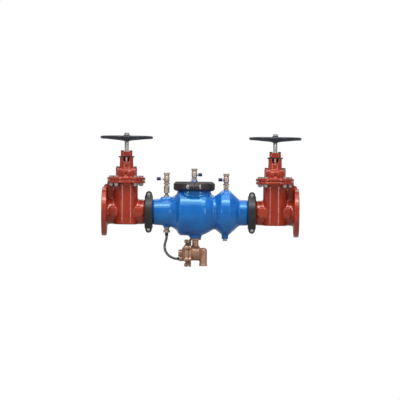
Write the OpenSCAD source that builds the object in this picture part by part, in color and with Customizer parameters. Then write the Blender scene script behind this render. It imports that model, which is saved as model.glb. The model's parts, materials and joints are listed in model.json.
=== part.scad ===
// Reduced-pressure backflow preventer for a 4 inch water main.
// Two flanged gate valves, a double check body with a relief valve, test cocks and a sensing hose.
// The origin is the centre of the inlet flange face. Water flows along +X.

/* [Waterway] */
// Diameter of the water passage
bore_d = 102; // [100:1:103]
// Outside diameter of the red valve tubes
tube_d = 118; // [117:0.5:120]
// Outside diameter of a grooved pipe end
pipe_d = 114.3; // [114:0.1:114.8]

/* [Line flange] */
// Outside diameter of the line flange
flange_d = 229; // [226:1:232]
// Thickness of the line flange
flange_t = 24; // [22:0.5:26]
// Pitch circle of the line bolts
line_pcd = 190.5; // [189:0.5:192]
// Diameter of a line bolt hole
line_hole_d = 19; // [18:0.5:20]

/* [Lengths] */
// Flange face to the middle of the nearest coupling
valve_len = 222.5; // [221:0.5:225]
// Distance between the middles of the two couplings
body_len = 490; // [488:1:494]
// Flange face to the valve stem axis
stem_x = 114.5; // [113:0.5:115]

/* [Gate valve] */
// How far the wedge travels
wedge_stroke = 110; // [108:0.5:110]
// Outside diameter of the handwheel
wheel_d = 250; // [230:1:256]
// Height of the handwheel rim above the pipe axis
wheel_z = 353; // [350:1:356]
// Number of handwheel spokes
spokes = 5; // [4:1:6]

/* [Check body] */
// Largest outside radius of the first chamber
chamber_1_r = 110; // [108:1:112]
// Largest outside radius of the second chamber
chamber_2_r = 104; // [102:1:106]
// Outside radius of the access port
port_r = 80; // [79:0.5:80]
// How far a check poppet opens
check_stroke = 22; // [18:1:24]

/* [Relief valve and hose] */
// Height of the relief valve axis
relief_z = -194; // [-195:0.5:-193]
// How far the relief valve stem travels
relief_stroke = 6; // [4:0.5:6.5]
// Diameter of the sensing hose
hose_d = 12; // [10:0.5:12]

/* [Hidden] */
$fn = 64;
bore_r = bore_d / 2;
pipe_r = pipe_d / 2;
total_len = 2 * valve_len + body_len;
body_x = valve_len + body_len / 2;
run_gap = 0.06;
joint_gap = 0.3;
spring_gap = 0.2;

red = "#a3261c";
blue = "#1b4fa8";
dark = "#26282c";
steel = "#c9ccd0";
bronze = "#b98563";
rubber = "#1c1c1d";

// Line flange and its rib, seen along Y
line_bolts = 8;
rib_t = 14;
rib_outline = [[3, 60], [3, 108], [13, 131], [66, 131], [66, 40], [20, 40]];

// Grooved end and coupling, measured from the middle of the joint
end_gap = 1.5;
end_land = 26;
clamp_half_w = 19;
clamp_r = 81;
key_in = 11.5;
groove_depth = 2.2;
gasket_t = 13;
ear_z = 84;
ear_r = 15;
ear_y = 20;
clamp_bolt_d = 9;
clamp_face_r = 9.5;

// Gate valve body, all heights above the pipe axis
chest_r = 55;
chest_half = 26;
chest_bottom = -60;
chest_wall = 8;
chest_floor = 3;
side_boss_x = 61;
side_boss_r = 25;
guide_x = 12;
guide_t = 6;
split_z = 149;
gasket_z = 0.8;
cap_flange_r = 90;
cap_flange_half = 18;
cap_flange_t = 14;
bonnet_z = split_z + gasket_z;
dome_z = bonnet_z + cap_flange_t;
dome_top = 204;
dome_r = 48;
dome_half = 30;
neck_top = 258;
plate_t = 6;
gland_z = neck_top + plate_t;
gland_t = 22;
gland_bolt_x = 20;
gland_screw_d = 8;
screw_hole_r = 4.4;
neck_r = 31;
window_z = 232;
window_w = 29;
shoulder_x = 42;
shoulder_top = 210;
front_boss_z = 178;
front_boss_r = 17;
front_boss_hole_r = 5;
bonnet_bolts_at = [[70, 24], [-70, 24], [70, -24], [-70, -24], [44, 80], [-44, 80], [44, -80], [-44, -80]];
bonnet_bolt_d = 12;

// Wedge, stem and stem nut, with the wedge's own centre as zero
disc_r = 56;
disc_half_t = 22;
seat_gap = 0.4;
lug_half_t = 8.6;
lug_y = 70;
lug_top = 36;
nut_w = 32;
nut_low = 58;
nut_h = 16;
wedge_top = 80;
stem_r = 10;
thread_r = 9;
drive_r = 8;
tip_r = 6;
washer_t = 1.6;
stem_low = 58;
thread_top = 200;
collar_r = 12;
collar_t = 6.4;
hub_low = wheel_z - 19;
hub_top = wheel_z + 13;

// Check body, measured from its middle
body_tube_r = 61;
port_x = -30;
port_top = 122;
cover_clamp_r = 98.5;
cover_clamp_half = 22.5;
cover_gap = 1.5;
cover_key_in = 14.5;
cover_ear_y = 101;
cover_ear_z = -4;
cover_ear_r = 15;
cover_ear_half = 24;
cover_gasket_t = 12;
seat_1_x = -146;
seat_2_x = 58;
seat_r = 57.9;
seat_t = 12;
seat_bore_r = 45;
poppet_r = 49;
poppet_t = 8;
guide_r = 6;
spring_room = 44;
cage_len = seat_t + poppet_t + check_stroke + spring_room;
cage_hub_t = 8;
cage_ring_r = 57;
cage_post_r = 3.4;
cage_post_at = 53.5;
cock_1_x = -161;
cock_3_x = 122;
cock_1_z = 73;
cock_3_z = 107;
cover_top = 150;
drain_x = 118;
drain_z = -126;
plug_h = 9;
pad_len = 52;
pad_w = 38;
boss_r = 16;
adapter_hex = 27;
sensing_x = -159;
sensing_z = -73;
sensing_r = 5;

// Test cocks, measured from the lower end
cock_h = 56;
cock_axis_z = 27;
cock_hex = 25;
cock_barrel_r = 13.5;
cock_neck_r = 11.5;
cock_bore_r = 4;
cock_outlet_r = 6;
cock_outlet_depth = 12;
ball_r = 7;
spindle_r = 3;
handle_r = 8;
handle_half = 20;
handle_t = 12;
nipple_r = 8;
long_handle = 29;
short_handle = 19;
handle_len = 18;
tapping_r = 8.1;
cock_1_lift = 58;
cock_2_lift = 2;
cock_3_lift = 22;

// Relief valve, measured from the middle of the check body
relief_port_x = -22;
relief_port_z = -123;
diaphragm_x = -56.5;
diaphragm_t = 2.5;
outlet_x = 16;
outlet_end_z = -255;
relief_boss_r = 29;
relief_bore_r = 11;
relief_bolts = 6;
relief_bolt_d = 8;
relief_disc_r = 51;
relief_disc_t = 12.4;
relief_lug_t = 13;
lug_gap = 0.5;
relief_lug_r = 9;
lug_ring_r = 56;
relief_cavity_r = 40;
relief_barrel_r = 35;
relief_barrel_end = -4;
relief_web_x = -32;
relief_web_t = 4;
relief_washer_end = -50;
relief_seat_x = -8;
relief_stem_r = 4;
relief_outlet_r = 13.5;
foot_r = 19.5;
foot_notches = 8;
tail_x = -103;
tail_r = 17;
sensing_port_z = -27;

ferrule_r = 8;
hose_port_x = -98;

// Route of the sensing hose, measured from the middle of the check body
hose_route = [
    [-159, 0, -112], [-159, 0, -118], [-160.4, 0, -129], [-163.4, 0, -140], [-166.4, 0, -151],
    [-167.8, 0, -162], [-167, 0, -173.5], [-163.8, 0, -184.5], [-158.4, 0, -194.5], [-151, 0, -203.2],
    [-142, 0, -210.4], [-131.6, 0, -216], [-121, 0, -219.7], [-112, 0, -221], [-106, 0, -221]
];

// Cylinders along X, from x0 to x1, and along Y, from y0 to y1
module x_cyl(x0, x1, r) {
    translate([x0, 0, 0]) rotate([0, 90, 0]) cylinder(h = x1 - x0, r = r);
}

module y_cyl(y0, y1, r) {
    translate([0, y1, 0]) rotate([90, 0, 0]) cylinder(h = y1 - y0, r = r);
}

module x_ring(x0, x1, r_out, r_in) {
    difference() {
        x_cyl(x0, x1, r_out);
        x_cyl(x0 - 1, x1 + 1, r_in);
    }
}

// An oval plate, long along Y
module oval(r, half, h) {
    linear_extrude(h) {
        translate([0, half]) circle(r);
        translate([0, -half]) circle(r);
        square([2 * r, 2 * half], center = true);
    }
}

// The same oval with a rounded top edge
module domed_oval(r, half, h, edge) {
    module outline() {
        square([r, h - edge]);
        square([r - edge, h]);
        translate([r - edge, h - edge]) circle(edge);
    }
    for (y = [-half, half]) translate([0, y, 0]) rotate_extrude() intersection() {
        outline();
        square([r, h]);
    }
    rotate([90, 0, 0]) linear_extrude(2 * half, center = true) {
        outline();
        mirror([1, 0]) outline();
    }
}

// An upright post with a rounded top
module rounded_post(r, h, edge) {
    rotate_extrude() intersection() {
        union() {
            square([r, h - edge]);
            square([r - edge, h]);
            translate([r - edge, h - edge]) circle(edge);
        }
        square([r, h]);
    }
}

module hex(width, h) {
    cylinder(h = h, d = width / cos(30), $fn = 6);
}

// A bolt with its nut: the head stands on z = 0 and the grip goes down from there
module hex_bolt(d, grip) {
    shank = grip + 1.1 * d;
    hex(1.6 * d, 0.65 * d);
    translate([0, 0, -shank]) cylinder(h = shank + 1, d = d);
    translate([0, 0, -grip - 0.85 * d]) hex(1.6 * d, 0.85 * d);
}

module hex_screw(d, length) {
    hex(1.6 * d, 0.65 * d);
    translate([0, 0, -length]) cylinder(h = length + 1, d = d);
}

// A round tube swept along a path, closed at both ends
module swept_tube(path, r, sides, across) {
    last = len(path) - 1;
    points = [for (i = [0:last])
        let (
            ahead = path[min(i + 1, last)] - path[max(i - 1, 0)],
            along = ahead / norm(ahead),
            out = cross(along, across),
            u = out / norm(out),
            v = cross(along, u)
        )
        for (k = [0:sides - 1]) path[i] + r * (cos(360 * k / sides) * u + sin(360 * k / sides) * v)];
    walls = [for (i = [0:last - 1]) for (k = [0:sides - 1])
        let (next = (k + 1) % sides)
        [i * sides + k, (i + 1) * sides + k, (i + 1) * sides + next, i * sides + next]];
    start_cap = [for (k = [0:sides - 1]) k];
    end_cap = [for (k = [0:sides - 1]) last * sides + sides - 1 - k];
    polyhedron(points = points, faces = concat([start_cap], walls, [end_cap]));
}

// A coil spring along X from x0 to x1
module coil_spring(x0, x1, mean_r, wire_r, turns) {
    steps = turns * 12;
    path = [for (i = [0:steps])
        let (a = 30 * i)
        [x0 + wire_r + (x1 - x0 - 2 * wire_r) * i / steps, mean_r * cos(a), mean_r * sin(a)]];
    swept_tube(path, wire_r, 8, [1, 0, 0]);
}

// The outlet valve is the inlet valve seen in a mirror
module at_outlet() {
    translate([total_len, 0, 0]) mirror([1, 0, 0]) children();
}

module on_stem() {
    translate([stem_x, 0, 0]) children();
}

module in_body() {
    translate([body_x, 0, 0]) children();
}

// ---- Gate valve, drawn with its flange face at x = 0 ----

module line_flange() {
    difference() {
        x_cyl(0, flange_t, flange_d / 2);
        for (i = [0:line_bolts - 1]) rotate([360 * (i + 0.5) / line_bolts, 0, 0])
            translate([0, 0, line_pcd / 2]) x_cyl(-1, flange_t + 1, line_hole_d / 2);
    }
}

// The cast web that stiffens the flange, with a lifting nose on top
module flange_rib() {
    rotate([90, 0, 0]) linear_extrude(rib_t, center = true) polygon(rib_outline);
}

// The round pads on the front of the chest
module side_bosses() {
    for (x = [-side_boss_x, side_boss_x]) translate([x, 0, 0]) {
        y_cyl(-62, -30, side_boss_r);
        y_cyl(-65, -61, side_boss_r - 10);
    }
}

module bonnet_bolt_holes(z0, z1) {
    for (p = bonnet_bolts_at) translate([p[0], p[1], z0]) cylinder(h = z1 - z0, d = bonnet_bolt_d + 1.5);
}

module valve_body() {
    groove_from = valve_len - clamp_half_w - joint_gap;
    groove_to = valve_len - key_in + joint_gap;
    inner_r = chest_r - chest_wall;
    color(red) difference() {
        union() {
            line_flange();
            x_cyl(flange_t - 1, flange_t + 5, tube_d / 2 + 6);
            x_cyl(0, valve_len - end_land, tube_d / 2);
            x_cyl(0, valve_len - end_gap, pipe_r);
            flange_rib();
            on_stem() translate([0, 0, chest_bottom]) oval(chest_r, chest_half, split_z - chest_bottom);
            on_stem() translate([0, 0, split_z - cap_flange_t])
                oval(cap_flange_r, cap_flange_half, cap_flange_t);
            on_stem() side_bosses();
        }
        difference() {
            on_stem() translate([0, 0, chest_bottom + chest_floor]) oval(inner_r, chest_half - 1, 300);
            on_stem() for (side = [-1, 1]) {
                translate([side * (disc_half_t + seat_gap + 20), 0, 0]) x_cyl(-20, 20, disc_r + 3);
                for (x = [-guide_x, guide_x]) translate([x - guide_t / 2, side * 67 - 7, -40])
                    cube([guide_t, 14, split_z - 1 + 40]);
            }
        }
        x_cyl(-1, valve_len + 1, bore_r);
        x_ring(groove_from, groove_to, pipe_r + 1, pipe_r - groove_depth);
        on_stem() bonnet_bolt_holes(split_z - cap_flange_t - 1, split_z + 1);
    }
}

module bonnet_gasket() {
    color(rubber) on_stem() translate([0, 0, split_z]) difference() {
        oval(chest_r + 4, chest_half, gasket_z);
        translate([0, 0, -1]) oval(chest_r - chest_wall, chest_half - 1, gasket_z + 2);
    }
}

module bonnet() {
    front_y = -dome_r - dome_half;
    color(red) on_stem() difference() {
        union() {
            translate([0, 0, bonnet_z]) oval(cap_flange_r, cap_flange_half, cap_flange_t);
            translate([0, 0, dome_z - 1]) domed_oval(dome_r, dome_half, dome_top - dome_z + 1, 16);
            translate([0, 0, dome_top - 12])
                cylinder(h = neck_top - dome_top + 12, r1 = neck_r + 3, r2 = neck_r);
            translate([0, 0, neck_top - 7]) cylinder(h = 7, r = neck_r + 1.5);
            translate([0, 0, front_boss_z]) y_cyl(front_y - 5, -60, front_boss_r);
            for (x = [-shoulder_x, shoulder_x])
                translate([x, 0, dome_z]) cylinder(h = shoulder_top - dome_z, r = 9);
        }
        translate([0, 0, bonnet_z - 1]) oval(41, dome_half, 195 - bonnet_z + 1);
        translate([0, 0, front_boss_z]) y_cyl(front_y - 6, front_y + 2, front_boss_hole_r);
        translate([0, 0, 190]) cylinder(h = 80, r = stem_r + run_gap);
        translate([0, 0, window_z]) cylinder(h = 40, r = window_w / 2);
        translate([0, 0, window_z + window_w / 2]) y_cyl(-50, 0, window_w / 2);
        translate([-window_w / 2, -50, window_z + window_w / 2]) cube([window_w, 50, 40]);
        for (x = [-gland_bolt_x, gland_bolt_x]) translate([x, 0, 236]) cylinder(h = 30, r = screw_hole_r);
        for (x = [-shoulder_x, shoulder_x])
            translate([x, 0, dome_top - 14]) cylinder(h = 30, r = screw_hole_r);
        bonnet_bolt_holes(bonnet_z - 1, dome_z + 1);
    }
}

module gland_plate() {
    color(dark) on_stem() translate([0, 0, neck_top]) difference() {
        rotate([0, 0, 90]) oval(17, 20.5, plate_t);
        translate([0, 0, -1]) cylinder(h = plate_t + 2, r = stem_r + joint_gap);
        for (x = [-gland_bolt_x, gland_bolt_x])
            translate([x, 0, -1]) cylinder(h = plate_t + 2, r = screw_hole_r);
    }
}

module gland() {
    color(red) on_stem() translate([0, 0, gland_z]) difference() {
        rotate([0, 0, 90]) oval(17, 10.5, gland_t);
        translate([0, 0, -1]) cylinder(h = gland_t + 2, r = stem_r + run_gap);
        translate([0, 0, -1]) cylinder(h = collar_t + 1 + 2 * joint_gap, r = collar_r + joint_gap);
        for (x = [-gland_bolt_x, gland_bolt_x])
            translate([x, 0, -1]) cylinder(h = gland_t + 2, r = screw_hole_r);
    }
}

module stem() {
    color(steel) on_stem() {
        translate([0, 0, stem_low]) cylinder(h = thread_top - stem_low, r = thread_r);
        translate([0, 0, thread_top - 1]) cylinder(h = hub_low - thread_top + 1, r = stem_r);
        translate([0, 0, gland_z + joint_gap]) cylinder(h = collar_t, r = collar_r);
        translate([0, 0, hub_low - 1]) cylinder(h = hub_top - hub_low - 1, r = drive_r);
        translate([0, 0, hub_top - 3]) cylinder(h = 13, r = tip_r);
    }
}

// The wedge is drawn fully raised
module raised() {
    on_stem() translate([0, 0, wedge_stroke]) children();
}

module stem_nut() {
    color(bronze) raised() translate([0, 0, nut_low]) difference() {
        translate([-nut_w / 2, -nut_w / 2, 0]) cube([nut_w, nut_w, nut_h]);
        translate([0, 0, -1]) cylinder(h = nut_h + 2, r = thread_r + run_gap);
    }
}

module wedge() {
    pocket = nut_w + 0.6;
    color(rubber) raised() difference() {
        union() {
            x_cyl(-disc_half_t, disc_half_t, disc_r);
            translate([-19, -28, 0]) cube([38, 56, wedge_top]);
            translate([-lug_half_t, -lug_y, -30]) cube([2 * lug_half_t, 2 * lug_y, lug_top + 30]);
        }
        translate([0, 0, -disc_r + 4]) cylinder(h = wedge_top + disc_r, r = 12.5);
        translate([-pocket / 2, -pocket / 2, nut_low - 0.3]) cube([pocket + 20, pocket, nut_h + 0.6]);
    }
}

module handwheel() {
    rim_r = 7;
    ring_r = wheel_d / 2 - rim_r;
    rise = 6;
    lean = atan((ring_r - 12) / rise);
    color(dark) on_stem() difference() {
        union() {
            translate([0, 0, wheel_z]) rotate_extrude() translate([ring_r, 0]) circle(rim_r, $fn = 32);
            translate([0, 0, hub_low]) cylinder(h = hub_top - hub_low, r1 = 13, r2 = 15);
            translate([0, 0, hub_low + 3]) cylinder(h = 12, r1 = 24, r2 = 28);
            for (i = [0:spokes - 1]) rotate([0, 0, 360 * i / spokes + 18])
                translate([12, 0, wheel_z - rise]) rotate([0, lean, 0])
                    cylinder(h = norm([ring_r - 12, rise]), r1 = 10, r2 = 6, $fn = 32);
        }
        translate([0, 0, hub_low - 1]) cylinder(h = 60, r = drive_r + 0.05);
    }
}

module wheel_nut() {
    color(steel) on_stem() translate([0, 0, hub_top]) difference() {
        union() {
            cylinder(h = washer_t, r = 13);
            translate([0, 0, washer_t]) hex(20, 7.4);
        }
        translate([0, 0, -1]) cylinder(h = 12, r = tip_r + 0.05);
    }
}

module valve_bonnet_bolts() {
    grip = 2 * cap_flange_t + gasket_z;
    on_stem() for (p = bonnet_bolts_at) translate([p[0], p[1], dome_z]) hex_bolt(bonnet_bolt_d, grip);
}

module valve_gland_bolts() {
    on_stem() {
        for (x = [-gland_bolt_x, gland_bolt_x])
            translate([x, 0, gland_z + gland_t]) hex_screw(gland_screw_d, gland_t + 22);
        for (x = [-shoulder_x, shoulder_x]) translate([x, 0, shoulder_top]) hex_screw(gland_screw_d, 16);
    }
}

module bonnet_bolts() {
    color(steel) {
        valve_bonnet_bolts();
        at_outlet() valve_bonnet_bolts();
    }
}

module gland_bolts() {
    color(dark) {
        valve_gland_bolts();
        at_outlet() valve_gland_bolts();
    }
}

module inlet_valve_body() { valve_body(); }
module inlet_bonnet() { bonnet(); }
module inlet_bonnet_gasket() { bonnet_gasket(); }
module inlet_gland_plate() { gland_plate(); }
module inlet_gland() { gland(); }
module inlet_stem() { stem(); }
module inlet_stem_nut() { stem_nut(); }
module inlet_wedge() { wedge(); }
module inlet_handwheel() { handwheel(); }
module inlet_wheel_nut() { wheel_nut(); }
module outlet_valve_body() { at_outlet() valve_body(); }
module outlet_bonnet() { at_outlet() bonnet(); }
module outlet_bonnet_gasket() { at_outlet() bonnet_gasket(); }
module outlet_gland_plate() { at_outlet() gland_plate(); }
module outlet_gland() { at_outlet() gland(); }
module outlet_stem() { at_outlet() stem(); }
module outlet_stem_nut() { at_outlet() stem_nut(); }
module outlet_wedge() { at_outlet() wedge(); }
module outlet_handwheel() { at_outlet() handwheel(); }
module outlet_wheel_nut() { at_outlet() wheel_nut(); }

// ---- Grooved couplings, drawn with the middle of the joint at the origin ----

module coupling_half() {
    wall_r = pipe_r - groove_depth + 0.4;
    difference() {
        union() {
            rotate([0, 90, 0]) rotate_extrude() polygon([
                [wall_r, -clamp_half_w], [clamp_r - 4, -clamp_half_w], [clamp_r, -clamp_half_w + 4],
                [clamp_r, clamp_half_w - 4], [clamp_r - 4, clamp_half_w], [wall_r, clamp_half_w]
            ]);
            for (z = [-ear_z, ear_z]) translate([0, 0, z]) y_cyl(-ear_y, ear_y, ear_r);
            for (z = [-1, 1]) translate([-ear_r, -ear_y, z * 74 - 10]) cube([2 * ear_r, 2 * ear_y, 20]);
        }
        x_cyl(-key_in, key_in, pipe_r + gasket_t);
        x_cyl(-50, 50, wall_r);
        for (z = [-ear_z, ear_z]) translate([0, 0, z]) {
            y_cyl(-50, 50, clamp_bolt_d / 2 + 0.5);
            y_cyl(-50, -ear_y, clamp_face_r);
        }
        translate([-50, -0.5, -150]) cube([100, 150, 300]);
    }
}

module coupling_gasket() {
    difference() {
        x_cyl(-key_in + joint_gap, key_in - joint_gap, pipe_r + gasket_t - joint_gap);
        x_cyl(-50, 50, pipe_r + 0.1);
    }
    x_ring(-end_gap + 0.1, end_gap - 0.1, pipe_r + 1, bore_r + 1);
}

module coupling_bolt_pair() {
    for (z = [-ear_z, ear_z]) translate([0, -ear_y, z]) rotate([90, 0, 0]) hex_bolt(clamp_bolt_d, 2 * ear_y);
}

module at_inlet_coupling() { translate([valve_len, 0, 0]) children(); }
module at_outlet_coupling() { translate([valve_len + body_len, 0, 0]) children(); }

module inlet_coupling_front() { color(dark) at_inlet_coupling() coupling_half(); }
module inlet_coupling_back() { color(dark) at_inlet_coupling() mirror([0, 1, 0]) coupling_half(); }
module inlet_coupling_gasket() { color(rubber) at_inlet_coupling() coupling_gasket(); }
module outlet_coupling_front() { color(dark) at_outlet_coupling() coupling_half(); }
module outlet_coupling_back() { color(dark) at_outlet_coupling() mirror([0, 1, 0]) coupling_half(); }
module outlet_coupling_gasket() { color(rubber) at_outlet_coupling() coupling_gasket(); }

module coupling_bolts() {
    color(steel) {
        at_inlet_coupling() coupling_bolt_pair();
        at_outlet_coupling() coupling_bolt_pair();
    }
}

// ---- Check body, drawn about its own middle ----

module turned_body() {
    end_x = body_len / 2 - end_gap;
    step_x = end_x - 21;
    rotate([0, 90, 0]) rotate_extrude() polygon([
        [0, -end_x], [pipe_r, -end_x], [pipe_r, -step_x], [body_tube_r, -step_x],
        [body_tube_r + 5, -148], [75, -128], [86, -113], [101, -104],
        [chamber_1_r, -96], [chamber_1_r + 1, -50], [chamber_1_r, 4], [103, 25], [91, 46], [81, 61],
        [79, 68], [82, 75], [94, 89], [chamber_2_r - 2, 99], [chamber_2_r, 108], [chamber_2_r, 139],
        [body_tube_r + 1, 184], [body_tube_r, 188],
        [body_tube_r, step_x], [pipe_r, step_x], [pipe_r, end_x], [0, end_x]
    ]);
}

module turned_hollow() {
    rotate([0, 90, 0]) rotate_extrude() polygon([
        [0, -300], [bore_r, -300], [bore_r, seat_1_x], [58, seat_1_x], [58, -116], [72, -106],
        [88, -97], [99, -88], [100, 2], [92, 22], [80, 41], [70, 50], [54, 54],
        [54, seat_2_x], [58, seat_2_x], [58, 78], [70, 84], [92, 104], [93, 139],
        [82, 150], [71, 160], [58, 170], [bore_r, 176], [bore_r, 300], [0, 300]
    ]);
}

module main_body() {
    groove_low = port_top + cover_gap - cover_clamp_half - joint_gap;
    groove_high = port_top + cover_gap - cover_key_in + joint_gap;
    end_x = body_len / 2;
    color(blue) in_body() difference() {
        union() {
            turned_body();
            translate([port_x, 0, 40]) cylinder(h = port_top - 40, r = port_r);
            translate([cock_1_x - pad_len / 2, -pad_w / 2, 0]) cube([pad_len, pad_w, cock_1_z]);
            translate([sensing_x, 0, sensing_z]) cylinder(h = 40, r = boss_r);
            translate([cock_3_x, 0, 60]) cylinder(h = cock_3_z - 60, r = boss_r + 2);
            translate([drain_x, 0, drain_z]) cylinder(h = 60, r = boss_r);
            translate([relief_port_x, 0, relief_port_z]) cylinder(h = 60, r = relief_boss_r);
        }
        turned_hollow();
        translate([port_x, 0, 0]) cylinder(h = port_top + 1, r = 70);
        translate([port_x, 0, groove_low]) difference() {
            cylinder(h = groove_high - groove_low, r = port_r + 1);
            translate([0, 0, -1]) cylinder(h = 40, r = port_r - 3);
        }
        for (x = [-1, 1]) translate([x * end_x, 0, 0])
            x_ring(x < 0 ? key_in - joint_gap : -clamp_half_w - joint_gap,
                   x < 0 ? clamp_half_w + joint_gap : -key_in + joint_gap, pipe_r + 1, pipe_r - groove_depth);
        translate([cock_1_x, 0, 0]) cylinder(h = cock_1_z + 1, r = tapping_r);
        translate([sensing_x, 0, sensing_z - 1]) cylinder(h = 1 - sensing_z, r = sensing_r + 0.1);
        translate([cock_3_x, 0, 0]) cylinder(h = cock_3_z + 1, r = tapping_r);
        translate([drain_x, 0, drain_z - 1]) cylinder(h = 80, r = tapping_r);
        translate([relief_port_x, 0, relief_port_z - 1]) cylinder(h = 80, r = relief_bore_r);
    }
}

module in_port() {
    in_body() translate([port_x, 0, port_top + cover_gap]) children();
}

module access_cover() {
    rim_low = cover_gap;
    color(blue) in_port() difference() {
        union() {
            translate([0, 0, rim_low]) cylinder(h = cover_clamp_half - 2, r = port_r);
            translate([0, 0, rim_low]) cylinder(h = cover_top - port_top - cover_gap - rim_low, r = 18);
        }
        translate([0, 0, cover_key_in - joint_gap]) difference() {
            cylinder(h = cover_clamp_half - cover_key_in + 2 * joint_gap, r = port_r + 1);
            translate([0, 0, -1]) cylinder(h = 40, r = port_r - 3);
        }
        translate([0, 0, rim_low - 1]) cylinder(h = 11, r = 62);
        cylinder(h = 60, r = tapping_r);
    }
}

module cover_clamp_half() {
    wall_r = port_r - 3 + 0.4;
    w = cover_clamp_half;
    difference() {
        union() {
            rotate_extrude() polygon([
                [wall_r, -w], [cover_clamp_r - 10, -w], [cover_clamp_r, -w + 9],
                [cover_clamp_r, w - 11], [cover_clamp_r - 11, w], [wall_r, w]
            ]);
            for (y = [-1, 1]) {
                translate([0, y * cover_ear_y, cover_ear_z])
                    x_cyl(-cover_ear_half, cover_ear_half, cover_ear_r);
                translate([-cover_ear_half, y * 90 - 11, cover_ear_z - cover_ear_r])
                    cube([2 * cover_ear_half, 22, 2 * cover_ear_r]);
            }
        }
        translate([0, 0, -cover_key_in]) cylinder(h = 2 * cover_key_in, r = port_r + cover_gasket_t);
        translate([0, 0, -50]) cylinder(h = 100, r = wall_r);
        for (y = [-cover_ear_y, cover_ear_y]) translate([0, y, cover_ear_z]) {
            x_cyl(-50, 50, 6.5);
            x_cyl(-60, -cover_ear_half, 12.5);
        }
        translate([-0.5, -200, -50]) cube([200, 400, 100]);
    }
}

module cover_clamp_left() { color(dark) in_port() cover_clamp_half(); }
module cover_clamp_right() { color(dark) in_port() mirror([1, 0, 0]) cover_clamp_half(); }

module cover_gasket() {
    color(rubber) in_port() difference() {
        translate([0, 0, -cover_key_in + joint_gap])
            cylinder(h = 2 * (cover_key_in - joint_gap), r = port_r + cover_gasket_t - joint_gap);
        translate([0, 0, -50]) cylinder(h = 100, r = port_r + 0.1);
    }
}

module cover_clamp_bolts() {
    color(steel) in_port() for (y = [-cover_ear_y, cover_ear_y])
        translate([cover_ear_half, y, cover_ear_z]) rotate([0, 90, 0]) hex_bolt(12, 2 * cover_ear_half);
}

// ---- Check valves, drawn with the upstream face of the seat at x = 0 ----

module check_seat() {
    hub_x = cage_len - cage_hub_t;
    arm_w = 8;
    arm_len = 104;
    color(bronze) {
        x_ring(0, seat_t, seat_r, seat_bore_r);
        for (i = [0:3]) rotate([45 + 90 * i, 0, 0])
            translate([0, 0, cage_post_at]) x_cyl(seat_t - 1, hub_x + 1, cage_post_r);
        difference() {
            union() {
                x_ring(hub_x, cage_len, cage_ring_r, poppet_r + 1);
                x_cyl(hub_x, cage_len, guide_r + 5);
                for (i = [0:1]) rotate([45 + 90 * i, 0, 0])
                    translate([hub_x, -arm_w / 2, -arm_len / 2]) cube([cage_hub_t, arm_w, arm_len]);
            }
            x_cyl(hub_x - 1, cage_len + 1, guide_r + run_gap);
        }
    }
}

module check_poppet() {
    face_x = seat_t + joint_gap;
    back_x = face_x + poppet_t;
    color(dark) {
        x_cyl(face_x, back_x, poppet_r);
        x_cyl(back_x - 1, back_x + guide_r, 2 * guide_r);
        x_cyl(face_x + 1, cage_len + guide_r, guide_r);
    }
}

module check_spring() {
    mean_r = 17;
    wire_r = 2;
    turns = 6;
    poppet_back = seat_t + joint_gap + poppet_t;
    color(steel)
        coil_spring(poppet_back + spring_gap, cage_len - cage_hub_t - spring_gap, mean_r, wire_r, turns);
}

module at_check_1() { in_body() translate([seat_1_x, 0, 0]) children(); }
module at_check_2() { in_body() translate([seat_2_x, 0, 0]) children(); }

module check_1_seat() { at_check_1() check_seat(); }
module check_1_poppet() { at_check_1() check_poppet(); }
module check_1_spring() { at_check_1() check_spring(); }
module check_2_seat() { at_check_2() check_seat(); }
module check_2_poppet() { at_check_2() check_poppet(); }
module check_2_spring() { at_check_2() check_spring(); }

// ---- Test cocks, drawn with the lower end at the origin and the handle towards +X ----

module cock_body() {
    color(bronze) difference() {
        union() {
            hex(cock_hex, 8);
            translate([0, 0, 7]) cylinder(h = 6, r = cock_neck_r - 1);
            translate([0, 0, 12]) cylinder(h = 4, r1 = cock_neck_r - 1, r2 = cock_barrel_r);
            translate([0, 0, 16]) cylinder(h = 22, r = cock_barrel_r);
            translate([0, 0, 37]) cylinder(h = 4, r1 = cock_barrel_r, r2 = cock_neck_r);
            translate([0, 0, 40]) cylinder(h = 8, r = cock_neck_r);
            translate([0, 0, 46]) hex(cock_hex, cock_h - 46);
            translate([0, 0, cock_axis_z]) x_cyl(0, short_handle - 2, spindle_r + 3.5);
        }
        translate([0, 0, -1]) cylinder(h = cock_h + 2, r = cock_bore_r);
        translate([0, 0, cock_h - cock_outlet_depth]) cylinder(h = cock_outlet_depth + 1, r = cock_outlet_r);
        translate([0, 0, cock_axis_z]) sphere(ball_r + joint_gap);
        translate([0, 0, cock_axis_z]) x_cyl(0, short_handle - 1, spindle_r + run_gap);
    }
}

module cock_ball(reach) {
    color(steel) translate([0, 0, cock_axis_z]) difference() {
        union() {
            sphere(ball_r);
            x_cyl(0, reach + handle_len + 2, spindle_r);
        }
        y_cyl(-ball_r - 1, ball_r + 1, cock_bore_r - 0.2);
    }
}

// The handle lies across the flow, so the cock is shut
module cock_handle(reach) {
    end = reach + handle_len;
    color("#1d2f6e") translate([0, 0, cock_axis_z]) difference() {
        union() {
            for (y = [-handle_half, 0, handle_half]) translate([0, y, 0]) x_cyl(reach, end, handle_r);
            translate([reach, -handle_half, -handle_t / 2]) cube([handle_len, 2 * handle_half, handle_t]);
        }
        x_cyl(reach - 1, end + 1, spindle_r + 0.05);
    }
}

module at_cock_1() {
    in_body() translate([cock_1_x, 0, cock_1_z + cock_1_lift]) rotate([0, 0, 180]) children();
}

module at_cock_2() {
    in_body() translate([port_x, 0, cover_top + cock_2_lift]) children();
}

module at_cock_3() {
    in_body() translate([cock_3_x, 0, cock_3_z + cock_3_lift]) rotate([0, 0, 180]) children();
}

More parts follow.
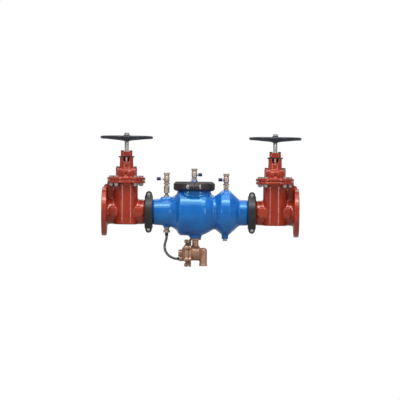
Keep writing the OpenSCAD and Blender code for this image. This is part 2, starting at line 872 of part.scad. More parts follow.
module cock_1_body() { at_cock_1() cock_body(); }
module cock_1_ball() { at_cock_1() cock_ball(long_handle); }
module cock_1_handle() { at_cock_1() cock_handle(long_handle); }
module cock_2_body() { at_cock_2() cock_body(); }
module cock_2_ball() { at_cock_2() cock_ball(short_handle); }
module cock_2_handle() { at_cock_2() cock_handle(short_handle); }
module cock_3_body() { at_cock_3() cock_body(); }
module cock_3_ball() { at_cock_3() cock_ball(short_handle); }
module cock_3_handle() { at_cock_3() cock_handle(short_handle); }

// A threaded nipple into the casting, from below the boss face to the test cock
module nipple(bore_below, length, collar_low, collar_high, collar_hex) {
    difference() {
        union() {
            translate([0, 0, -bore_below]) cylinder(h = bore_below + length, r = nipple_r);
            translate([0, 0, collar_low]) cylinder(h = collar_high - collar_low, r = cock_barrel_r);
            hex(collar_hex, min(8, collar_high));
        }
        translate([0, 0, -bore_below - 1]) cylinder(h = bore_below + length + 2, r = cock_bore_r);
    }
}

// The brass adapter between the check body and the hose
module hose_adapter() {
    difference() {
        union() {
            cylinder(h = 16, r = sensing_r);
            translate([0, 0, -12]) cylinder(h = 12, r1 = 10, r2 = boss_r - 1);
            translate([0, 0, -24]) hex(adapter_hex, 12.5);
        }
        translate([0, 0, -25]) cylinder(h = 50, r = sensing_r / 2);
    }
}

module cock_fittings() {
    color(bronze) in_body() {
        translate([cock_1_x, 0, cock_1_z]) nipple(14, cock_1_lift, 18, 53, 22);
        translate([port_x, 0, cover_top]) nipple(14, cock_2_lift, 0, cock_2_lift, 20);
        translate([cock_3_x, 0, cock_3_z]) nipple(8, cock_3_lift, 12, 18, 22);
        translate([drain_x, 0, drain_z]) {
            translate([0, 0, -plug_h]) hex(18, plug_h);
            cylinder(h = 20, r = nipple_r);
        }
        translate([sensing_x, 0, sensing_z]) hose_adapter();
    }
}

// ---- Relief valve, drawn in the check body's frame ----

module at_relief() {
    in_body() translate([0, 0, relief_z]) children();
}

// One half of the bolted diaphragm joint: lugs from x0 to x1, and a slightly thinner disc between them
module relief_flange(x0, x1, disc_x0) {
    difference() {
        union() {
            x_cyl(disc_x0, disc_x0 + relief_disc_t, relief_disc_r);
            at_relief_lugs() x_cyl(x0, x1, relief_lug_r);
        }
        at_relief_lugs() x_cyl(x0 - 1, x1 + 1, relief_bolt_d / 2 + 0.1);
    }
}

module at_relief_lugs() {
    for (i = [0:relief_bolts - 1]) rotate([360 * i / relief_bolts, 0, 0])
        translate([0, 0, lug_ring_r]) children();
}

// The cross wall that guides the stem, with four windows for the water
module relief_web() {
    web_end = relief_web_x + relief_web_t;
    difference() {
        x_cyl(relief_web_x, web_end, 28);
        for (i = [0:3]) rotate([45 + 90 * i, 0, 0])
            translate([0, 0, 17]) x_cyl(relief_web_x - 1, web_end + 1, 7);
        x_cyl(relief_web_x - 1, web_end + 1, relief_stem_r + run_gap);
    }
}

module relief_body() {
    flange_x = diaphragm_x + diaphragm_t;
    top = relief_port_z - relief_z;
    foot = outlet_end_z - relief_z;
    color(bronze) at_relief() difference() {
        union() {
            relief_flange(flange_x + lug_gap, flange_x + relief_lug_t, flange_x);
            x_cyl(flange_x + 8, relief_barrel_end, relief_barrel_r);
            translate([relief_barrel_end, 0, 0]) rotate([0, 90, 0]) {
                cylinder(h = 5, r1 = relief_barrel_r, r2 = 28);
                translate([0, 0, 5]) cylinder(h = 5, r1 = 28, r2 = 20);
            }
            translate([relief_port_x, 0, 0]) cylinder(h = top, r = relief_bore_r + 4);
            translate([relief_port_x, 0, top - 8]) cylinder(h = 8, r = relief_boss_r - 2);
            x_cyl(0, outlet_x, 17);
            translate([outlet_x, 0, foot]) rounded_post(18, 26 - foot, 14);
            translate([outlet_x, 0, foot]) cylinder(h = 7, r = foot_r);
        }
        for (i = [0:foot_notches - 1]) translate([outlet_x, 0, foot]) rotate([0, 0, 360 * i / foot_notches])
            translate([foot_r - 3, -2.5, -1]) cube([5, 5, 6]);
        x_cyl(flange_x - 1, flange_x + 9, relief_cavity_r);
        difference() {
            x_cyl(flange_x, relief_barrel_end, 27);
            relief_web();
        }
        translate([relief_port_x, 0, 18]) cylinder(h = top, r = relief_bore_r);
        x_cyl(-5, outlet_x, 12);
        translate([outlet_x, 0, foot - 1]) cylinder(h = 15 - foot, r = relief_outlet_r);
    }
}

module relief_cover() {
    x1 = diaphragm_x;
    x0 = x1 - relief_lug_t;
    color(bronze) at_relief() difference() {
        union() {
            relief_flange(x0, x1 - lug_gap, x1 - relief_disc_t);
            translate([x0 + 1, 0, 0]) rotate([0, -90, 0]) cylinder(h = 16, r1 = 45, r2 = 23);
            x_cyl(tail_x, x0, tail_r);
            translate([0, 0, sensing_port_z]) x_cyl(hose_port_x, x0, 11.5);
        }
        x_cyl(x0 + 3, x1 + 1, relief_cavity_r);
        x_cyl(tail_x + 8, x0 + 4, 9);
        translate([0, 0, sensing_port_z]) x_cyl(hose_port_x - 1, x0 + 4, sensing_r);
    }
}

module relief_diaphragm() {
    color(rubber) at_relief()
        x_ring(diaphragm_x, diaphragm_x + diaphragm_t, relief_disc_r - 1, relief_stem_r + joint_gap);
}

// The stem is drawn with the relief valve open
module relief_stem() {
    washer_r = 24;
    disc_end = relief_seat_x - relief_stroke - joint_gap;
    color(steel) at_relief() {
        x_cyl(diaphragm_x - 4.5, disc_end, relief_stem_r);
        x_cyl(diaphragm_x - 3.5, diaphragm_x - 0.2, washer_r);
        x_cyl(diaphragm_x + diaphragm_t + 0.2, relief_washer_end, washer_r);
        x_cyl(disc_end - 5, disc_end, 20);
    }
}

module relief_spring() {
    mean_r = 12;
    wire_r = 0.55;
    turns = 3;
    color(steel) at_relief()
        coil_spring(relief_washer_end + spring_gap, relief_web_x - spring_gap, mean_r, wire_r, turns);
}

module relief_seat() {
    color(steel) at_relief() x_ring(relief_seat_x, relief_barrel_end, 26.8, 13.5);
}

module relief_bolts() {
    color(steel) at_relief() at_relief_lugs() translate([diaphragm_x - relief_lug_t, 0, 0])
        rotate([0, -90, 0]) hex_screw(relief_bolt_d, 2 * relief_lug_t);
}

// ---- Sensing hose ----

module sensing_hose() {
    color("#8d9095") in_body() swept_tube(hose_route, hose_d / 2, 12, [0, 1, 0]);
}

// The upper ferrule is crimped under the adapter and the lower one screws into the relief valve cover
module hose_fittings() {
    start = hose_route[0];
    end = hose_route[len(hose_route) - 1];
    color(dark) in_body() {
        translate([start[0], 0, start[2]]) difference() {
            cylinder(h = sensing_z - 24 - start[2], r = ferrule_r);
            translate([0, 0, -1]) cylinder(h = 40, r = sensing_r / 2);
        }
        translate([0, 0, end[2]]) difference() {
            union() {
                x_cyl(end[0], hose_port_x, ferrule_r);
                x_cyl(hose_port_x - 1, hose_port_x + 14, sensing_r - 0.1);
            }
            x_cyl(end[0] - 1, hose_port_x + 20, sensing_r / 2);
        }
    }
}

inlet_valve_body();
inlet_bonnet();
inlet_bonnet_gasket();
inlet_gland_plate();
inlet_gland();
inlet_stem();
inlet_stem_nut();
inlet_wedge();
inlet_handwheel();
inlet_wheel_nut();
outlet_valve_body();
outlet_bonnet();
outlet_bonnet_gasket();
outlet_gland_plate();
outlet_gland();
outlet_stem();
outlet_stem_nut();
outlet_wedge();
outlet_handwheel();
outlet_wheel_nut();
bonnet_bolts();
gland_bolts();
inlet_coupling_front();
inlet_coupling_back();
inlet_coupling_gasket();
outlet_coupling_front();
outlet_coupling_back();
outlet_coupling_gasket();
coupling_bolts();
main_body();
access_cover();
cover_clamp_left();
cover_clamp_right();
cover_gasket();
cover_clamp_bolts();
check_1_seat();
check_1_poppet();
check_1_spring();
check_2_seat();
check_2_poppet();
check_2_spring();
cock_1_body();
cock_1_ball();
cock_1_handle();
cock_2_body();
cock_2_ball();
cock_2_handle();
cock_3_body();
cock_3_ball();
cock_3_handle();
cock_fittings();
relief_body();
relief_cover();
relief_diaphragm();
relief_stem();
relief_spring();
relief_seat();
relief_bolts();
sensing_hose();
hose_fittings();
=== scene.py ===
"""Looks for a reduced-pressure backflow preventer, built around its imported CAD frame."""

import json
import math

import bmesh
import bpy
import numpy as np
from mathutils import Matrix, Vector


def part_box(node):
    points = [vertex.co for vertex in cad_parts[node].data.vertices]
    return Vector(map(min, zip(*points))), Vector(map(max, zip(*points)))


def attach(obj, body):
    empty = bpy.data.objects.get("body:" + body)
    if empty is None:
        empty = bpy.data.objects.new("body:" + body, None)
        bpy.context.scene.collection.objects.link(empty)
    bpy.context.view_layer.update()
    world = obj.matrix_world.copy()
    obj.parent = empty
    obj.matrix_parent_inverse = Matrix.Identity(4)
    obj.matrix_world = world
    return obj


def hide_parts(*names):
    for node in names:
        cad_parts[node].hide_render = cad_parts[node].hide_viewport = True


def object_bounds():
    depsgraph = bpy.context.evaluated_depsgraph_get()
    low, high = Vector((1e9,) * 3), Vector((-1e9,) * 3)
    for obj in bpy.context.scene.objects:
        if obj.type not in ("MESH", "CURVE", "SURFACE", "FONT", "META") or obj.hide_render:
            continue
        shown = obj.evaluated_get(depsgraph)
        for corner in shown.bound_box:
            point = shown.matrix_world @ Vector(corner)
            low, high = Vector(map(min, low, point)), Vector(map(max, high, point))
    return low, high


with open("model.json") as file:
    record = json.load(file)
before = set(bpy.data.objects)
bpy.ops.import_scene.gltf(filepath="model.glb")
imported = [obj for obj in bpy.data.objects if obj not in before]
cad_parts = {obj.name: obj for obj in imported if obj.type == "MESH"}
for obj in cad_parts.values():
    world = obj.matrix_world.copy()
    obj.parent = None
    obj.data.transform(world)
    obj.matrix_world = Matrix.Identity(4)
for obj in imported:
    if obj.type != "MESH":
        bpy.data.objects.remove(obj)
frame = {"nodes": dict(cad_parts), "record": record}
cad_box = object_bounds()
NODES = frame["nodes"]
BODY_OF = {n: b for b, members in frame["record"]["behaviour"]["bodies"].items() for n in members}
SLOT_OF = {s["node"]: s["material_slot"] for s in frame["record"]["subparts"]}

# ---- Camera, floor and light -------------------------------------------------------------------

# Lengths are in metres, and the sensor is in millimetres
VIEW_DISTANCE = 12.0
VIEW_WIDTH = 1.901
VIEW_OFFSET = -0.002
CAMERA_HEIGHT = 0.12
AIM_HEIGHT = 0.059
ROLL_DEGREES = 0.6
SENSOR = 36.0
LIGHT_AIM_HEIGHT = 0.05
FLOOR_RADIUS = 40.0
FLOOR_GAP = 0.004
FLOOR_TONE = 0.30

# What the sky gives off to the camera, in a mirrored ray and as light on the object
SKY_SEEN = 1.0
SKY_MIRRORED = 0.3
SKY_LIT = 0.8


def link(obj):
    bpy.context.scene.collection.objects.link(obj)
    return obj


def look_at(obj, target):
    obj.rotation_mode = "QUATERNION"
    obj.rotation_quaternion = (Vector(target) - obj.location).to_track_quat("-Z", "Y")


def make_camera():
    """A long lens at body height, aimed at the middle of the blue body; returns the point aimed at."""
    low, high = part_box("main_body")
    target = Vector(((low.x + high.x) / 2 + VIEW_OFFSET, 0.0, AIM_HEIGHT))
    data = bpy.data.cameras.new("camera")
    data.sensor_width = SENSOR
    data.lens = SENSOR * VIEW_DISTANCE / VIEW_WIDTH
    camera = link(bpy.data.objects.new("camera", data))
    camera.location = target + Vector((0.0, -VIEW_DISTANCE, CAMERA_HEIGHT - AIM_HEIGHT))
    look_at(camera, target)
    camera.rotation_mode = "XYZ"
    camera.rotation_euler.rotate_axis("Z", math.radians(ROLL_DEGREES))
    bpy.context.scene.camera = camera
    return target


aim = make_camera()


def softbox(name, azimuth, elevation, distance, size, radiance):
    """A rectangular light aimed at the object; azimuth 0 is the viewer's side and 90 is the outlet end."""
    turn = math.radians(azimuth)
    lift = math.radians(elevation)
    centre = Vector((aim.x, 0.0, LIGHT_AIM_HEIGHT))
    away = Vector((math.sin(turn) * math.cos(lift), -math.cos(turn) * math.cos(lift), math.sin(lift)))
    data = bpy.data.lights.new(name, "AREA")
    data.shape = "RECTANGLE"
    data.size, data.size_y = size
    data.energy = math.pi * radiance * size[0] * size[1]
    lamp = link(bpy.data.objects.new(name, data))
    lamp.location = centre + distance * away
    look_at(lamp, centre)
    lamp.visible_camera = False


def make_lights():
    """A large box and a bright strip above, a narrow strip on each side and a dim box behind."""
    softbox("overhead_box", 0.0, 72.0, 2.0, (3.4, 2.7), 1.7)
    softbox("band_strip", 0.0, 62.0, 2.2, (2.8, 0.55), 5.5)
    softbox("left_strip", -42.0, 6.0, 2.4, (0.16, 0.9), 8.0)
    softbox("right_strip", 42.0, 6.0, 2.4, (0.16, 0.9), 8.0)
    softbox("back_box", 180.0, 40.0, 2.4, (2.6, 1.0), 1.2)


def by_ray(tree, seen, mirrored, lit):
    """One value for rays from the camera, one for mirrored rays and one for all the others."""
    path = tree.nodes.new("ShaderNodeLightPath")
    mixes = []
    for ray, value in (("Is Glossy Ray", mirrored), ("Is Camera Ray", seen)):
        mix = tree.nodes.new("ShaderNodeMix")
        mix.inputs["B"].default_value = value
        tree.links.new(path.outputs[ray], mix.inputs["Factor"])
        mixes.append(mix)
    mixes[0].inputs["A"].default_value = lit
    tree.links.new(mixes[0].outputs[0], mixes[1].inputs["A"])
    return mixes[1].outputs[0]


def make_floor():
    """A flat round floor that is white to the camera and pale grey to the light."""
    mesh = bpy.data.meshes.new("studio_floor")
    floor = bmesh.new()
    bmesh.ops.create_circle(floor, cap_ends=True, segments=96, radius=FLOOR_RADIUS)
    floor.to_mesh(mesh)
    floor.free()
    studio = link(bpy.data.objects.new("studio_floor", mesh))
    studio.location = (aim.x, 0.0, cad_box[0].z - FLOOR_GAP)
    material = bpy.data.materials.new("studio_white")
    material.use_nodes = True
    tree = material.node_tree
    shader = tree.nodes["Principled BSDF"]
    shader.inputs["Base Color"].default_value = (FLOOR_TONE, FLOOR_TONE, FLOOR_TONE, 1.0)
    shader.inputs["Roughness"].default_value = 0.9
    shader.inputs["Specular IOR Level"].default_value = 0.1
    glow = tree.nodes.new("ShaderNodeEmission")
    blend = tree.nodes.new("ShaderNodeMixShader")
    tree.links.new(by_ray(tree, 1.0, 0.0, 0.0), blend.inputs[0])
    tree.links.new(shader.outputs[0], blend.inputs[1])
    tree.links.new(glow.outputs[0], blend.inputs[2])
    tree.links.new(blend.outputs[0], tree.nodes["Material Output"].inputs[0])
    mesh.materials.append(material)


def make_sky():
    """A plain sky, white to the camera and dim in mirrored rays, so that the paint keeps its colour."""
    world = bpy.data.worlds.new("studio_sky")
    world.use_nodes = True
    tree = world.node_tree
    sky = tree.nodes["Background"]
    sky.inputs["Color"].default_value = (1.0, 1.0, 1.0, 1.0)
    tree.links.new(by_ray(tree, SKY_SEEN, SKY_MIRRORED, SKY_LIT), sky.inputs["Strength"])
    bpy.context.scene.world = world
    bpy.context.scene.view_settings.view_transform = "Standard"


make_lights()
make_floor()
make_sky()

# ---- Materials ---------------------------------------------------------------------------------


class Recipe:
    """A node material in the row's own coordinates, in metres."""

    def __init__(self, name):
        self.material = bpy.data.materials.new(name)
        self.material.use_nodes = True
        self.tree = self.material.node_tree
        self.shader = self.tree.nodes["Principled BSDF"]
        self.place = self.tree.nodes.new("ShaderNodeTexCoord").outputs["Object"]

    def set(self, **sockets):
        """Values that are the same all over, each set on the shader's own socket."""
        for name, value in sockets.items():
            self.shader.inputs[name.replace("_", " ")].default_value = value

    def noise(self, scale, detail=3.0, rough=0.55, stretch=None):
        """Soft noise from 0 to 1; stretch scales the three axes apart."""
        node = self.tree.nodes.new("ShaderNodeTexNoise")
        node.inputs["Scale"].default_value = scale
        node.inputs["Detail"].default_value = detail
        node.inputs["Roughness"].default_value = rough
        place = self.place
        if stretch:
            mapping = self.tree.nodes.new("ShaderNodeMapping")
            mapping.inputs["Scale"].default_value = stretch
            self.tree.links.new(place, mapping.inputs["Vector"])
            place = mapping.outputs[0]
        self.tree.links.new(place, node.inputs["Vector"])
        return node.outputs["Fac"]

    def spread(self, value, low, high, to_low, to_high):
        """The value's range from low to high, moved to another range."""
        node = self.tree.nodes.new("ShaderNodeMapRange")
        ranges = {"From Min": low, "From Max": high, "To Min": to_low, "To Max": to_high}
        for name, number in ranges.items():
            node.inputs[name].default_value = number
        self.tree.links.new(value, node.inputs["Value"])
        return node.outputs[0]

    def colours(self, value, stops):
        """A colour ramp; each stop is (value, colour)."""
        node = self.tree.nodes.new("ShaderNodeValToRGB")
        ramp = node.color_ramp
        while len(ramp.elements) < len(stops):
            ramp.elements.new(0.5)
        for element, (place, colour) in zip(ramp.elements, stops):
            element.position = place
            element.color = (*colour, 1.0)
        self.tree.links.new(value, node.inputs["Fac"])
        return node.outputs["Color"]

    def shaded(self, base, shade, strength):
        """The base colour multiplied by a shade."""
        node = self.tree.nodes.new("ShaderNodeMix")
        node.data_type = "RGBA"
        node.blend_type = "MULTIPLY"
        node.inputs[0].default_value = strength
        self.tree.links.new(base, node.inputs[6])
        self.tree.links.new(shade, node.inputs[7])
        return node.outputs[2]

    def painted_corner_shade(self, tone):
        """Painted shade: the tone in hollow corners, going over to white on open faces and edges."""
        geometry = self.tree.nodes.new("ShaderNodeNewGeometry")
        open_face = self.spread(geometry.outputs["Pointiness"], 0.46, 0.53, 0.0, 1.0)
        return self.colours(open_face, [(0.0, tone), (1.0, (1.0, 1.0, 1.0))])

    def bumps(self, *layers):
        """Each layer is (height value, strength, depth in metres)."""
        normal = None
        for value, strength, depth in layers:
            node = self.tree.nodes.new("ShaderNodeBump")
            node.inputs["Strength"].default_value = strength
            node.inputs["Distance"].default_value = depth
            self.tree.links.new(value, node.inputs["Height"])
            if normal:
                self.tree.links.new(normal, node.inputs["Normal"])
            normal = node.outputs[0]
        self.tree.links.new(normal, self.shader.inputs["Normal"])

    def join(self, value, socket):
        """Leads a value that varies over the surface to the shader."""
        self.tree.links.new(value, self.shader.inputs[socket])


def epoxy(name, deep, main, bright, gleam, rough=(0.12, 0.22), coat=0.2):
    """Thick glossy epoxy over a sand casting: slow colour drift, orange peel and a faint cast grain."""
    r = Recipe(name)
    drift = r.noise(14.0, 4.0)
    r.join(r.colours(drift, [(0.25, deep), (0.5, main), (0.78, bright)]), "Base Color")
    r.join(r.spread(r.noise(60.0, 3.0), 0.3, 0.7, *rough), "Roughness")
    r.set(Coat_Weight=coat, Coat_Roughness=0.05, Specular_IOR_Level=0.9, Specular_Tint=(*gleam, 1.0))
    sand = (r.noise(26.0, 2.0), 0.10, 0.004)
    peel = (r.noise(210.0, 2.0), 0.10, 0.001)
    grain = (r.noise(800.0, 2.0), 0.05, 0.0004)
    r.bumps(sand, peel, grain)
    return r.material


def enamel(name, deep, main, rough=(0.32, 0.5), grain=0.25):
    """Thin satin enamel over rough iron."""
    r = Recipe(name)
    r.join(r.colours(r.noise(40.0, 5.0), [(0.3, deep), (0.7, main)]), "Base Color")
    r.join(r.spread(r.noise(220.0, 4.0), 0.3, 0.7, *rough), "Roughness")
    r.bumps((r.noise(90.0, 3.0), 0.15, 0.002), (r.noise(900.0, 4.0, 0.7), grain, 0.0006))
    return r.material


def cast_metal(name, dark, main, light, rough=(0.3, 0.48), grain=0.35):
    """Bare sand-cast or machined copper alloy, with painted shade darkening the corners."""
    r = Recipe(name)
    base = r.colours(r.noise(38.0, 6.0, 0.62), [(0.22, dark), (0.5, main), (0.8, light)])
    # Painted shade: the bronze colour is darkened in hollow corners
    r.join(r.shaded(base, r.painted_corner_shade((0.34, 0.24, 0.2)), 0.85), "Base Color")
    r.join(r.spread(r.noise(150.0, 5.0), 0.3, 0.7, *rough), "Roughness")
    r.set(Metallic=0.7)
    r.bumps((r.noise(120.0, 3.0), 0.2, 0.0015), (r.noise(1100.0, 4.0, 0.7), grain, 0.0005))
    return r.material


def turned_metal(name, dark, light, rough=(0.2, 0.36), stretch=(1.0, 1.0, 60.0)):
    """Lathe-turned steel with fine rings across its axis."""
    r = Recipe(name)
    lines = r.noise(60.0, 5.0, 0.65, stretch)
    r.join(r.colours(lines, [(0.3, dark), (0.7, light)]), "Base Color")
    r.join(r.spread(lines, 0.3, 0.7, *rough), "Roughness")
    r.set(Metallic=1.0)
    r.bumps((lines, 0.04, 0.0003))
    return r.material


def zinc(name):
    """Zinc plating: bright, slightly yellow, clouded in patches."""
    r = Recipe(name)
    stops = [(0.25, (0.50, 0.48, 0.42)), (0.5, (0.70, 0.69, 0.66)), (0.8, (0.82, 0.81, 0.78))]
    clouds = r.colours(r.noise(120.0, 5.0, 0.6), stops)
    # Painted shade: the plating colour is darkened in hollow corners
    r.join(r.shaded(clouds, r.painted_corner_shade((0.35, 0.32, 0.28)), 0.7), "Base Color")
    r.join(r.spread(r.noise(400.0, 3.0), 0.3, 0.7, 0.24, 0.42), "Roughness")
    r.set(Metallic=0.95)
    r.bumps((r.noise(900.0, 3.0), 0.15, 0.0003))
    return r.material


def rubber(name, tone):
    """Dull moulded rubber."""
    r = Recipe(name)
    dark = tuple(0.6 * c for c in tone)
    r.join(r.colours(r.noise(90.0, 4.0), [(0.3, dark), (0.7, tone)]), "Base Color")
    r.join(r.spread(r.noise(500.0, 3.0), 0.3, 0.7, 0.6, 0.8), "Roughness")
    r.bumps((r.noise(1200.0, 3.0), 0.2, 0.0003))
    return r.material


def plastic(name, dark, main, rough=(0.25, 0.38)):
    """Smooth moulded plastic."""
    r = Recipe(name)
    r.join(r.colours(r.noise(70.0, 3.0), [(0.3, dark), (0.7, main)]), "Base Color")
    r.join(r.spread(r.noise(300.0, 3.0), 0.3, 0.7, *rough), "Roughness")
    r.set(Specular_IOR_Level=0.5)
    r.bumps((r.noise(700.0, 2.0), 0.08, 0.0003))
    return r.material


MATERIALS = {
    "red_paint": epoxy("red_epoxy", (0.20, 0.016, 0.006), (0.29, 0.026, 0.010), (0.37, 0.042, 0.018),
                       (1.0, 0.62, 0.55)),
    "blue_paint": epoxy("blue_epoxy", (0.003, 0.085, 0.35), (0.004, 0.115, 0.43), (0.007, 0.15, 0.50),
                        (0.45, 0.95, 1.0)),
    "black_paint": enamel("black_enamel", (0.012, 0.012, 0.013), (0.026, 0.025, 0.026)),
    "clamp_paint": enamel("brown_black_enamel", (0.016, 0.012, 0.012), (0.036, 0.028, 0.027)),
    "wheel_paint": enamel("wheel_enamel", (0.010, 0.013, 0.020), (0.022, 0.028, 0.042), (0.28, 0.42),
                          0.12),
    "seal_rubber": rubber("seal_rubber", (0.022, 0.022, 0.023)),
    "stainless": turned_metal("turned_stainless", (0.74, 0.72, 0.70), (0.90, 0.88, 0.86)),
    "zinc_bolts": zinc("zinc_plate"),
    "black_bolts": enamel("black_oxide", (0.010, 0.010, 0.011), (0.022, 0.021, 0.021), (0.3, 0.45),
                          0.1),
    "bronze": cast_metal("cast_bronze", (0.42, 0.21, 0.135), (0.68, 0.39, 0.27), (0.82, 0.55, 0.40)),
    "cock_bronze": cast_metal("machined_bronze", (0.34, 0.26, 0.20), (0.60, 0.50, 0.42),
                              (0.80, 0.70, 0.60), (0.22, 0.38), 0.15),
    "handle_plastic": plastic("navy_plastic", (0.006, 0.009, 0.05), (0.012, 0.018, 0.10)),
    "poppet_plastic": plastic("poppet_plastic", (0.02, 0.02, 0.022), (0.05, 0.05, 0.055), (0.4, 0.55)),
    "braid": turned_metal("steel_braid", (0.12, 0.12, 0.13), (0.36, 0.36, 0.37), (0.3, 0.45),
                          (1.0, 1.0, 1.0)),
    "hose_ends": enamel("hose_end_enamel", (0.014, 0.014, 0.015), (0.030, 0.030, 0.032), (0.28, 0.4),
                        0.1),
}


def dress(obj, slot):
    """Gives a piece the finish of its slot."""
    obj.data.materials.clear()
    obj.data.materials.append(MATERIALS[slot])


# ---- Castings: each CAD node copied, then filleted as sand castings are ---------------------------

# The share of the way to its neighbours' mean that a point moves in a pass, in hollows and on outer edges
HOLLOW_RATE = 0.6
PROUD_RATE = 0.14

# The normals that tell hollows from edges are worked out again after this many passes
NORMALS_EVERY = 4


def read_mesh(mesh):
    """The mesh's points, and its edges as pairs of point numbers."""
    points = np.zeros(len(mesh.vertices) * 3, np.float32)
    mesh.vertices.foreach_get("co", points)
    pairs = np.zeros(len(mesh.edges) * 2, np.int32)
    mesh.edges.foreach_get("vertices", pairs)
    return points.reshape(-1, 3).astype(float), pairs.reshape(-1, 2)


def write_points(mesh, points):
    mesh.vertices.foreach_set("co", points.astype(np.float32).ravel())
    mesh.update()


def neighbour_mean(points, pairs, degree):
    """The mean of the points that each point shares an edge with."""
    total = np.empty_like(points)
    for axis in range(3):
        column = points[:, axis]
        total[:, axis] = (np.bincount(pairs[:, 0], column[pairs[:, 1]], len(points))
                          + np.bincount(pairs[:, 1], column[pairs[:, 0]], len(points)))
    return total / degree[:, None]


def soften(mesh, passes):
    """Fills hollow corners much faster than it wears outer edges, so that corners become cast fillets."""
    points, pairs = read_mesh(mesh)
    degree = np.maximum(np.bincount(pairs.ravel(), minlength=len(points)), 1).astype(float)
    normals = np.zeros(len(points) * 3, np.float32)
    for step in range(passes):
        if step % NORMALS_EVERY == 0:
            write_points(mesh, points)
            mesh.vertex_normals.foreach_get("vector", normals)
        pull = neighbour_mean(points, pairs, degree) - points
        rise = np.einsum("ij,ij->i", pull, normals.reshape(-1, 3))
        rate = np.where(rise > 0, HOLLOW_RATE, PROUD_RATE)
        points = points + pull * rate[:, None]
    write_points(mesh, points)


def casting(node, voxel, passes):
    """A copy of a CAD node with cast fillets, which stands for it."""
    made = link(bpy.data.objects.new(node + "_cast", NODES[node].data.copy()))
    remesh = made.modifiers.new("remesh", "REMESH")
    remesh.mode = "VOXEL"
    remesh.voxel_size = voxel
    remesh.use_smooth_shade = True
    graph = bpy.context.evaluated_depsgraph_get()
    mesh = bpy.data.meshes.new_from_object(made.evaluated_get(graph))
    made.modifiers.clear()
    made.data = mesh
    mesh.name = node + "_cast"
    soften(mesh, passes)
    for face in mesh.polygons:
        face.use_smooth = True
    dress(made, SLOT_OF[node])
    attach(made, BODY_OF[node])
    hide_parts(node)


# The voxel size in metres and the softening passes of each casting
CASTINGS = {
    "main_body": (0.0022, 34),
    "access_cover": (0.0020, 8),
    "inlet_valve_body": (0.0022, 26),
    "outlet_valve_body": (0.0022, 26),
    "inlet_bonnet": (0.0018, 20),
    "outlet_bonnet": (0.0018, 20),
    "inlet_gland": (0.0010, 10),
    "outlet_gland": (0.0010, 10),
    "inlet_handwheel": (0.0014, 16),
    "outlet_handwheel": (0.0014, 16),
    "inlet_coupling_front": (0.0013, 12),
    "inlet_coupling_back": (0.0013, 12),
    "outlet_coupling_front": (0.0013, 12),
    "outlet_coupling_back": (0.0013, 12),
    "cover_clamp_left": (0.0016, 14),
    "cover_clamp_right": (0.0016, 14),
    "relief_body": (0.0012, 16),
    "relief_cover": (0.0012, 14),
}

for cast_node, (voxel, passes) in CASTINGS.items():
    casting(cast_node, voxel, passes)

# ---- Machined parts keep their CAD shape, with the sharp edges broken -----------------------------

EDGE_WIDTH = 0.0004
EDGE_DEGREES = 32
WELD_DISTANCE = 1e-6

# Coiled wires, and the tube that the braided hose stands for, get no bevel
ROUND_NODES = {"check_1_spring", "check_2_spring", "relief_spring", "sensing_hose"}


def break_edges(obj):
    """A narrow bevel on every sharp edge, made by modifiers."""
    weld = obj.modifiers.new("weld", "WELD")
    weld.merge_threshold = WELD_DISTANCE
    bevel = obj.modifiers.new("edges", "BEVEL")
    bevel.width = EDGE_WIDTH
    bevel.segments = 2
    bevel.limit_method = "ANGLE"
    bevel.angle_limit = math.radians(EDGE_DEGREES)
    bevel.harden_normals = True


for name, obj in NODES.items():
    if name in CASTINGS:
        continue
    dress(obj, SLOT_OF[name])
    if name not in ROUND_NODES:
        break_edges(obj)

# ---- Sensing hose: a braided sleeve over a rubber core --------------------------------------------

# The route of the hose, in metres, repeated from the CAD source
HOSE_ROUTE = [
    (0.3085, 0.0, -0.1120), (0.3085, 0.0, -0.1180), (0.3071, 0.0, -0.1290), (0.3041, 0.0, -0.1400),
    (0.3011, 0.0, -0.1510), (0.2997, 0.0, -0.1620), (0.3005, 0.0, -0.1735), (0.3037, 0.0, -0.1845),
    (0.3091, 0.0, -0.1945), (0.3165, 0.0, -0.2032), (0.3255, 0.0, -0.2104), (0.3359, 0.0, -0.2160),
    (0.3465, 0.0, -0.2197), (0.3555, 0.0, -0.2210), (0.3615, 0.0, -0.2210),
]
HOSE_DIAMETER = 0.012

# Radii are shares of the hose's diameter, other lengths are in metres, and STRANDS is the count for each hand
CORE_SHARE = 0.42
STRAND_SHARE = 0.475
STRANDS = 12
BRAID_PITCH = 0.034
STRAND_HALF_WIDTH = 0.00085
STRAND_HALF_THICK = 0.00022
WEAVE_RISE = 0.00016
RINGS_PER_SPAN = 10
CORE_SIDES = 20

# The outline of a strand across its length, from -1 to 1 each way
STRAND_OUTLINE = ((-1, -0.4), (-0.6, 1), (0.6, 1), (1, -0.4))


def smooth_route(points, parts):
    """A Catmull-Rom curve through the points, with each span cut into parts."""
    p = [np.array(q) for q in points]
    p = [2 * p[0] - p[1]] + p + [2 * p[-1] - p[-2]]
    made = []
    for a, b, c, d in zip(p, p[1:], p[2:], p[3:]):
        for t in np.arange(parts) / parts:
            made.append(0.5 * (2 * b + (c - a) * t + (2 * a - 5 * b + 4 * c - d) * t ** 2
                               + (3 * b - a - 3 * c + d) * t ** 3))
    return np.array(made + [p[-2]])


def flat_frames(line):
    """Tangents, in-plane normals and the side direction of a line that lies in the XZ plane."""
    along = np.gradient(line, axis=0)
    along /= np.linalg.norm(along, axis=1)[:, None]
    side = np.array([0.0, 1.0, 0.0])
    return along, np.cross(along, side), side


def skin(mesh, rings):
    """A closed tube through rings of points, with a cap on each end."""
    for low, high in zip(rings, rings[1:]):
        for k in range(len(low)):
            n = (k + 1) % len(low)
            mesh.faces.new((low[k], low[n], high[n], high[k]))
    mesh.faces.new(list(reversed(rings[0])))
    mesh.faces.new(rings[-1])


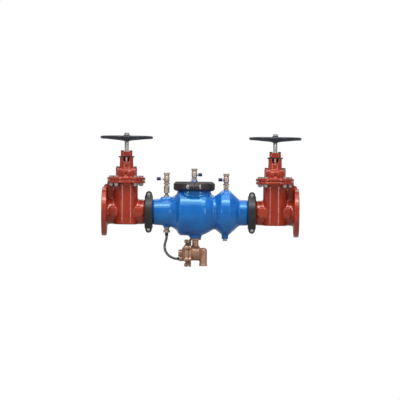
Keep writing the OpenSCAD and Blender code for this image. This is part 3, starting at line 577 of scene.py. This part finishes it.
def hose_core(mesh, line, out, side):
    """The rubber tube under the braid."""
    turn = np.arange(CORE_SIDES) * 2 * math.pi / CORE_SIDES
    core_r = CORE_SHARE * HOSE_DIAMETER
    rings = []
    for centre, outward in zip(line, out):
        rings.append([mesh.verts.new(centre + core_r * (math.cos(a) * outward + math.sin(a) * side))
                      for a in turn])
    skin(mesh, rings)


def hose_strand(mesh, frames, travel, hand, number):
    """One flat strand wound round the core, over and under the strands of the other hand."""
    line, along, out, side = frames
    rows = []
    for i in range(len(line)):
        wound = 2 * math.pi * travel[i] / BRAID_PITCH
        angle = hand * wound + 2 * math.pi * number / STRANDS
        weave = math.sin(STRANDS * wound + math.pi * number) * hand
        r = STRAND_SHARE * HOSE_DIAMETER + WEAVE_RISE * weave
        radial = math.cos(angle) * out[i] + math.sin(angle) * side
        around = -math.sin(angle) * out[i] + math.cos(angle) * side
        lean = hand * 2 * math.pi * r / BRAID_PITCH
        across = around - lean * along[i]
        across /= np.linalg.norm(across)
        middle = line[i] + r * radial
        wide = STRAND_HALF_WIDTH * across
        thick = STRAND_HALF_THICK * radial
        rows.append([mesh.verts.new(middle + u * wide + v * thick) for u, v in STRAND_OUTLINE])
    skin(mesh, rows)


def braided_hose():
    """The whole hose, a braided sleeve over a rubber core that stands for the CAD tube."""
    line = smooth_route(HOSE_ROUTE, RINGS_PER_SPAN)
    along, out, side = flat_frames(line)
    length = np.linalg.norm(np.diff(line, axis=0), axis=1)
    travel = np.concatenate([[0.0], np.cumsum(length)])
    hose = bmesh.new()
    hose_core(hose, line, out, side)
    for hand in (1, -1):
        for number in range(STRANDS):
            hose_strand(hose, (line, along, out, side), travel, hand, number)
    bmesh.ops.recalc_face_normals(hose, faces=hose.faces)
    mesh = bpy.data.meshes.new("sensing_hose_braid")
    hose.to_mesh(mesh)
    hose.free()
    for face in mesh.polygons:
        face.use_smooth = True
    made = link(bpy.data.objects.new("sensing_hose_braid", mesh))
    dress(made, "braid")
    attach(made, "housing")
    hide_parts("sensing_hose")


braided_hose()
